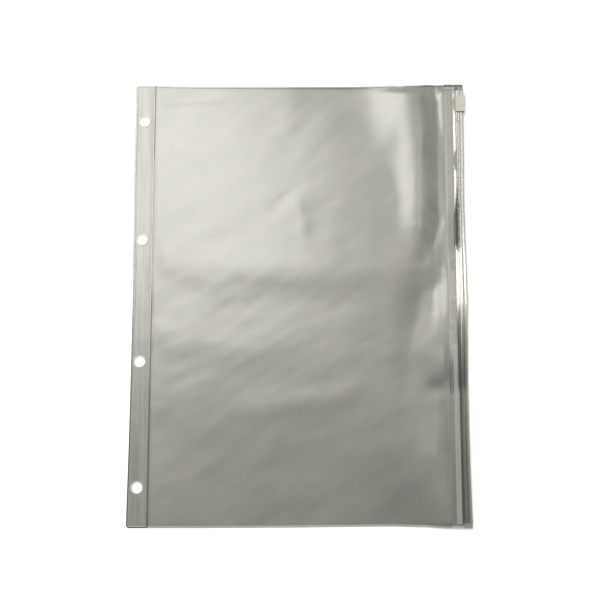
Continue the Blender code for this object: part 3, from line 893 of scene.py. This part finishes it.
# In from the outer edge: the web's end, the ridge's side, its top's start, tip and end, and the track's start
WEB_END, RIDGE_SIDE, RIDGE_TOP, RIDGE_TIP, RIDGE_END, TRACK_TOP = 7.1, 4.75, 4.7, 3.9, 2.5, 2.4
WEB_SLOPE = math.tan(math.radians(4))
# How many degrees the tops of the ridge and of the track fall towards the outer edge
RIDGE_AT, RIDGE_FALL = [-20, -10, -2, 30, 36, 128.5, 135], [3.0, 2.0, 0.0, 0.0, 4.0, 4.0, 2.2]
TRACK_AT, TRACK_FALL = [-32, -20, -10, -2, 30, 36, 58], [2.0, 1.5, 1.0, 0.0, 0.0, 1.0, 1.4]
# How far the ridge is pressed down beside the web, on a short stretch above the middle
PRESSED_AT, PRESSED_BY = [4.0, 4.01, 4.58, 4.66, 4.72], [0.0, 0.58, 0.58, 0.50, 0.20]


def along_zip(y, column):
    """One column of the table, at any place along the zip."""
    return np.interp(y, zip_table["y"], zip_table[column])


def twist_dip(u, y):
    """How far a point of an outer face sinks below its section, so that the face tips to one side."""
    ridge = math.tan(math.radians(np.interp(y, RIDGE_AT, RIDGE_FALL)))
    track = math.tan(math.radians(np.interp(y, TRACK_AT, TRACK_FALL)))
    if RIDGE_SIDE < u < WEB_END:
        return WEB_SLOPE * max(0.0, WEB_END - along_zip(y, "level") - u)
    if RIDGE_END < u < RIDGE_SIDE:
        pressed = np.interp(u, PRESSED_AT, PRESSED_BY) * (smooth((y - 33) / 4) * smooth((64 - y) / 4))
        return ridge * max(0.0, RIDGE_TOP - max(u, RIDGE_TIP)) + track * max(0.0, RIDGE_TIP - u) + pressed
    if 0.1 < u < TRACK_TOP:
        return track * (TRACK_TOP - u)
    return 0.0


print(f"{len(ZIP_STATIONS)} places along the zip, its edge drawn in by up to {max(zip_table['draw'])} mm")

# %% Painted shade on the zip strips
# Where the clear lip beside the ribbed weld, which gets no painted shade, ends, from the lower end to the
# upper end
LIP_AT = [-59, -56, -6, 2, 32, 36, 60, 66]
LIP_END = [6.95, 7.6, 7.4, 6.85, 6.85, 7.4, 7.4, 6.85]
# Painted shade on the inner faces of the strips, where they lie against each other
INSIDE_SHADE = 0.3


def zip_tint(u, y):
    """How much painted shade an outer face gets: none on its clear lip, and a dark line beside the ridge."""
    if u > RIDGE_SIDE:
        line = 0.4 * bell(u - 6.95, 0.25) * smooth((y + 34) / 4) * smooth((-3 - y) / 4)
        return along_zip(y, "web_painted_shade") * smooth((np.interp(y, LIP_AT, LIP_END) - u) / 0.5) + line
    if u > RIDGE_TIP - 0.1:
        return along_zip(y, "ridge_painted_shade")
    line = np.interp(y, [-8, 0], [0.35, 0.12]) * bell(u - RIDGE_END, 0.2)
    return along_zip(y, "track_painted_shade") * (0.55 + 0.6 * smooth((u - 0.7) / 1.3)) + line


# %% Make the zip strips
def zip_rings(ys, top, under, outer_is_top):
    """The section at each step along the zip, and the painted shade at its points."""
    rings, tints = [], []
    for y in ys:
        ring = []
        for k, (u, z) in enumerate(top + under):
            outer = (k < len(top)) == outer_is_top
            sink = twist_dip(u, y) if outer else 0.0
            x = zip_edge - u - along_zip(y, "draw") * (1 - u / ZIP_WIDTH)
            ring.append((x, y, z - sink if outer_is_top else z + sink))
            tints.append(zip_tint(u, y) if outer else INSIDE_SHADE)
        rings.append(ring)
    return rings, tints


zip_ys = steps(-tape_end, tape_end, 1.6)
for name, node, top, under, outer_is_top in (
    ("front_zip_strip", "front_zip_tape", FRONT_TOP, FRONT_UNDER, True),
    ("back_zip_strip", "back_zip_tape", BACK_TOP, BACK_UNDER, False),
):
    rings, tints = zip_rings(zip_ys, top, under, outer_is_top)
    strip = ring_piece(name, rings, sharp=60)
    paint(strip, tints)
    finish_piece(strip, "pocket", [node], zip_vinyl)

# %% [markdown]
# ## The ends of the zip
# At both ends the zip is crushed flat and welded with the films, which also stops the slider. The lump
# could be sculpted. Here a cube is cut into a fine grid, whose points are moved into a wedge with grooves
# from the press and dents from noise. The zip's stripes of painted shade run on into it, with dark lines of
# painted shade at its cut edges.

# %% Painted shade and tone of the crushed ends
def end_tint(x, y, along, side):
    """Painted shade: stripes like the zip's, a dark wedge and a dark cut edge at the top end; at the bottom
    end the zip's and the band's painted shade running on, a lump of random tone and a dark line across.
    """
    u = zip_edge - x
    if side > 0:
        stripes = 0.45 if u < 3.6 else 0.3 * smooth((u - 6.8) / 0.8)
        wedge = 0.95 * bell(u - 4.6, 1.2) * smooth((0.75 - along) / 0.3)
        return max(stripes, wedge, 0.97 * smooth((along - 0.5) / 0.12))
    if u < 5.0:
        lump = 0.3 + 0.7 * abs(noise.noise(Vector((x, y, 1.7)) * 1.2))
        return lump + (zip_tint(u, y) - lump) * smooth((0.3 - along) / 0.3)
    stripes = zip_tint(u, y) if u < ZIP_WIDTH else float(band_tint(np.array(x), np.array(-tape_end)))
    return max(stripes * smooth((0.6 - along) / 0.2), 0.9 * bell(along - 0.42, 0.14))


# %% Make the crushed ends
END_CUTS, END_HEIGHT, WEDGE_STEEPNESS = 23, 1.0, 1.15
DENT, DENT_SCALE, GROOVE, GROOVES = 0.16, 0.55, 0.10, 4
# How far the lump's sides are rounded, from which share of its half width
ROUND, ROUND_FROM, ROUND_RUN = 0.45, 0.42, 0.08


def crushed_end(name, node):
    """A grooved, dented wedge in the node's box, low at the page's end."""
    (x0, y0, z0), (x1, y1, z1) = box_mm(node)
    side = 1 if y1 > 0 else -1
    inner, outer = (y0, y1) if side > 0 else (y1, y0)
    lump = bmesh.new()
    bmesh.ops.create_cube(lump, size=1.0)
    bmesh.ops.subdivide_edges(lump, edges=lump.edges[:], cuts=END_CUTS, use_grid_fill=True)
    tints = []
    for vert in lump.verts:
        across, along, up = (c + 0.5 for c in vert.co)
        along = along if side > 0 else 1 - along
        x = x0 + (x1 - x0) * across
        y = inner + (outer - inner) * along
        top = z1 + (z0 + END_HEIGHT - z1) * smooth(along * WEDGE_STEEPNESS)
        dent = noise.noise(Vector((x * DENT_SCALE, y * DENT_SCALE, 4.0 * up))) * DENT
        groove = GROOVE * math.sin(math.pi * along * GROOVES) ** 2 * smooth(up)
        corner = ROUND * (max(0, abs(across - 0.5) - ROUND_FROM) / ROUND_RUN) ** 2
        z = z0 + (top - z0) * up
        z += (dent - groove) * (up - 0.5) * 2 + (corner * (0.5 - up)) * 0.6
        vert.co = ((x - corner * 0.1 * (across - 0.5)) * MM, y * MM, z * MM)
        tints.append(end_tint(x, y, along, side))
    piece = new_piece(name, mesh_from(lump, name), sharp=60)
    paint(piece, tints)
    finish_piece(piece, "pocket", [node], weld_vinyl)


crushed_end("zip_top_end", "zip_top_stop")
crushed_end("zip_bottom_end", "zip_bottom_stop")

# %% [markdown]
# ## The slider
# The slider is one small moulding in milky plastic: a channel that wraps the zip, with lips behind its
# ridges, wider at one end. It could be cut from a block, but a section that is drawn once and extruded
# keeps its walls even. A Bevel modifier rounds it, as a mould maker would.

# %% Make the slider
(slider_left, slider_low, _), (slider_right, slider_high, slider_top) = box_mm("slider")
SLIDER_WALL, SLIDER_CLEAR, SLIDER_LIP, BRIDGE_X = 0.8, 0.15, 0.65, zip_edge + 0.15
SLIDER_TAPER, SLIDER_ROUND, FINGER_REACH, FINGER_HALF = 0.6, 0.14, 0.9, 0.35


def slider_outline():
    """Half the channel's section, from the bridge over the top to the finger, and its mirror image."""
    lip = slider_left + SLIDER_LIP
    ceiling = slider_top - SLIDER_WALL
    finger = (zip_edge - FINGER_REACH, zip_middle + FINGER_HALF)
    upper = [(slider_right, slider_top), (slider_left, slider_top), (slider_left, band_top + SLIDER_CLEAR)]
    upper += [(lip, band_top + SLIDER_CLEAR), (lip, ceiling), (BRIDGE_X, ceiling), (BRIDGE_X, finger[1]),
              finger]
    return upper + [(x, slider_top - z) for x, z in reversed(upper)]


def slider_mesh():
    body = bmesh.new()
    outline = [body.verts.new((x * MM, slider_low * MM, z * MM)) for x, z in slider_outline()]
    face = body.faces.new(outline)
    grown = bmesh.ops.extrude_face_region(body, geom=[face])
    top = [v for v in grown["geom"] if isinstance(v, bmesh.types.BMVert)]
    bmesh.ops.translate(body, verts=top, vec=(0, (slider_high - slider_low) * MM, 0))
    for vert in body.verts:
        if vert.co.x > (slider_right - 0.01) * MM and vert.co.y < (slider_low + 1) * MM:
            vert.co.x -= SLIDER_TAPER * MM
    bmesh.ops.recalc_face_normals(body, faces=body.faces[:])
    return mesh_from(body, "slider_moulding")


slider_moulding = new_piece("slider_moulding", slider_mesh(), sharp=30)
rounding = slider_moulding.modifiers.new("rounding", "BEVEL")
rounding.width = SLIDER_ROUND * MM
rounding.segments = 3
rounding.limit_method = "ANGLE"
finish_piece(slider_moulding, "slider", ["slider"], slider_plastic)

# %% [markdown]
# ## The table
# The pocket lies on a plain white table that curves up all round into a cove. A flat plane would show its
# edge from the side. The table glows a little, seen only by the camera, in reflections and through the
# film, so it looks white, keeps the pocket's shadow and throws no extra light on the film.

# %% White of the table
def math_node(nodes, links, operation, one, other):
    """Two values put through one step of arithmetic."""
    node = nodes.new("ShaderNodeMath")
    node.operation = operation
    links.new(one, node.inputs[0])
    links.new(other, node.inputs[1])
    return node.outputs[0]


def white_floor():
    """White to the eye, with the object's shadow, without throwing more light on the object."""
    material = bpy.data.materials.new("white_table")
    material.use_nodes = True
    nodes, links = material.node_tree.nodes, material.node_tree.links
    matte = set_sockets(nodes["Principled BSDF"], {
        "Base Color": (0.8, 0.8, 0.8, 1.0), "Roughness": 0.9, "Specular IOR Level": 0.0})
    rays = nodes.new("ShaderNodeLightPath").outputs
    seen = math_node(nodes, links, "MAXIMUM", rays["Is Camera Ray"], rays["Is Glossy Ray"])
    through = math_node(nodes, links, "MAXIMUM", seen, rays["Is Transmission Ray"])
    glow_here = nodes.new("ShaderNodeAttribute")
    glow_here.attribute_name = "glow"
    glow = nodes.new("ShaderNodeEmission")
    lift = math_node(nodes, links, "MULTIPLY", glow_here.outputs["Fac"], through)
    links.new(lift, glow.inputs["Strength"])
    both = nodes.new("ShaderNodeAddShader")
    links.new(matte.outputs[0], both.inputs[0])
    links.new(glow.outputs[0], both.inputs[1])
    links.new(both.outputs[0], nodes["Material Output"].inputs["Surface"])
    return material


# %% Make the table
# From the middle outwards, in metres: distance, height, and how much the table glows to the eye
COVE = [(0.40, 0.0, 0.35), (0.70, 0.0, 0.50), (1.20, 0.0, 0.75), (2.60, 0.0, 0.85), (3.00, 0.05, 0.85),
        (3.30, 0.20, 0.85), (3.50, 0.45, 0.85), (3.62, 0.90, 0.85), (3.70, 2.20, 0.85)]
SIDES = 64
# A hair below the page, so that no two faces share a plane
TABLE_BELOW = 0.00002
table_points, table_faces = [(0.0, 0.0, 0.0)], []
for row, (reach, rise, _) in enumerate(COVE):
    for k in range(SIDES):
        turn = 2 * math.pi * k / SIDES
        table_points.append((reach * math.cos(turn), reach * math.sin(turn), rise))
        here, beside = 1 + row * SIDES + k, 1 + row * SIDES + (k + 1) % SIDES
        table_faces.append((0, here, beside) if row == 0 else (here - SIDES, here, beside, beside - SIDES))
table_mesh = bpy.data.meshes.new("table")
table_mesh.from_pydata(table_points, [], table_faces)
table_mesh.polygons.foreach_set("use_smooth", [True] * len(table_faces))
glows = table_mesh.attributes.new("glow", "FLOAT", "POINT")
glows.data.foreach_set("value", [COVE[0][2]] + [share for _, _, share in COVE for _ in range(SIDES)])
table_mesh.materials.append(white_floor())
table = bpy.data.objects.new("table", table_mesh)
bpy.context.scene.collection.objects.link(table)
table.location.z = -TABLE_BELOW
print(f"table: {len(table_faces)} faces, {2 * COVE[-1][0]:.1f} m across")

# %% [markdown]
# ## Light
# One large soft box hangs up and to the left, and two narrow ones on the right light the zip. The film's
# gloss is these boxes in a slightly blurred mirror: bright where the film leans towards one, grey where it
# leans away. A picture of a room could light it too, but a box is easy to move. The room itself is an even,
# dim, pale grey.

# %% Light
scene = bpy.context.scene
scene.view_settings.view_transform = "Standard"
world = bpy.data.worlds.new("pale_room")
scene.world = world
world.use_nodes = True
set_sockets(world.node_tree.nodes["Background"], {"Color": (1.0, 1.0, 0.985, 1.0), "Strength": 0.32})


def soft_box(name, place, turn, size, power):
    """A lit rectangle that faces straight down, turned about the vertical."""
    lamp = bpy.data.lights.new(name, "AREA")
    lamp.shape = "RECTANGLE"
    lamp.size, lamp.size_y = size
    lamp.energy = power
    lamp.color = (1.0, 0.98, 0.92)
    holder = bpy.data.objects.new(name, lamp)
    scene.collection.objects.link(holder)
    holder.location = place
    holder.rotation_euler = (0.0, 0.0, math.radians(turn))


soft_box("soft_box", (-0.52, 0.725, 1.5), 5.0, (0.98, 1.25), 32.0)
soft_box("strip_box", (0.375, 0.43, 1.5), 0.0, (0.16, 0.52), 1.95)
soft_box("low_box", (0.36, -0.08, 1.5), 0.0, (0.12, 0.42), 0.4)

# %% [markdown]
# ## Camera
# The photograph looks down on the page, a little from its lower end, so that end comes out wider. The
# page's four corners fix the view: 7.1 degrees off the vertical, 592 mm away, with a lens of about 54 mm.

# %% Camera
TILT, DISTANCE, FOCAL_PIXELS, IMAGE_PIXELS = 7.1, 0.592, 909.0, 600.0
camera_data = bpy.data.cameras.new("camera")
camera_data.sensor_width = 36.0
camera_data.lens = FOCAL_PIXELS / IMAGE_PIXELS * camera_data.sensor_width
camera = bpy.data.objects.new("camera", camera_data)
scene.collection.objects.link(camera)
aim = Vector((0.0, 0.0002, 0.0))
lean = math.radians(TILT)
camera.location = aim + DISTANCE * Vector((0.0, -math.sin(lean), math.cos(lean)))
camera.rotation_euler = (lean, 0.0, 0.0)
scene.camera = camera
print(f"camera at {tuple(round(c, 3) for c in camera.location)}, lens {camera_data.lens:.1f} mm")
